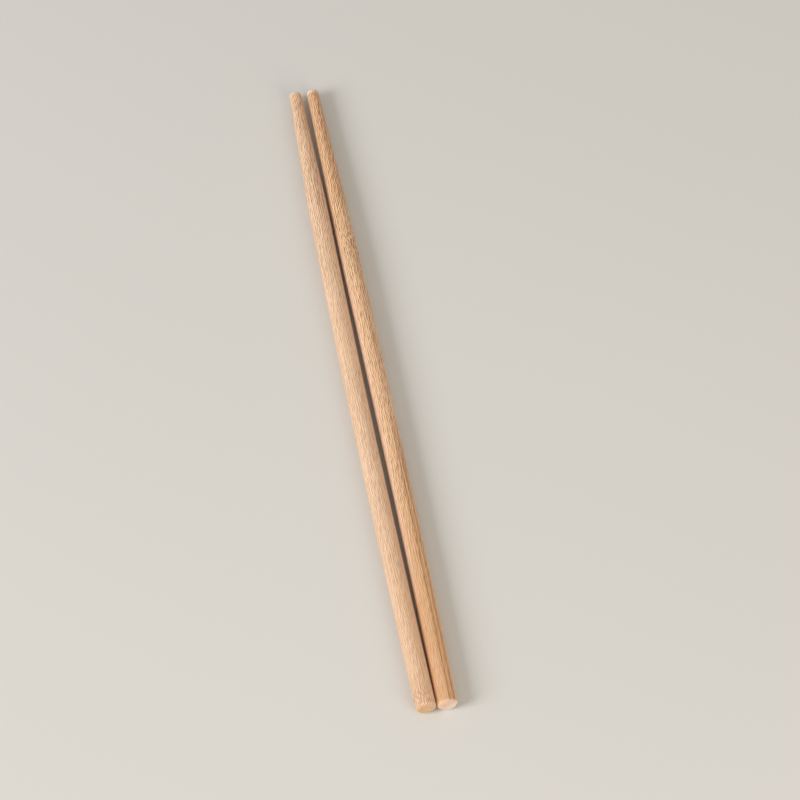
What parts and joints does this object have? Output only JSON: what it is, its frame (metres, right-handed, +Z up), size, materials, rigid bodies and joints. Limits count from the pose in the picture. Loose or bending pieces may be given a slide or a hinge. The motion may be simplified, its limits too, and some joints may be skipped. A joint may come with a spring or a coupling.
{
  "type": "pair of chopsticks",
  "caption": "Round bamboo chopsticks lying side by side as a pair, with slightly bowed shanks, tapered ends, blunt rounded tips and sanded butts, for picking up food.",
  "frame": {"origin": "on the surface that the sticks lie on, under the middle of the pair", "axes": "+Y along the sticks from the butts to the tips, +Z up from the surface, +X to the right as seen from the butts"},
  "size_m": [0.0144, 0.24, 0.0065],
  "materials": {
    "pale_bamboo": "matt",
    "honey_bamboo": "matt"
  },
  "bodies": {
    "root": {"left_chopstick": "pale_bamboo", "right_chopstick": "honey_bamboo"}
  },
  "joints": []
}
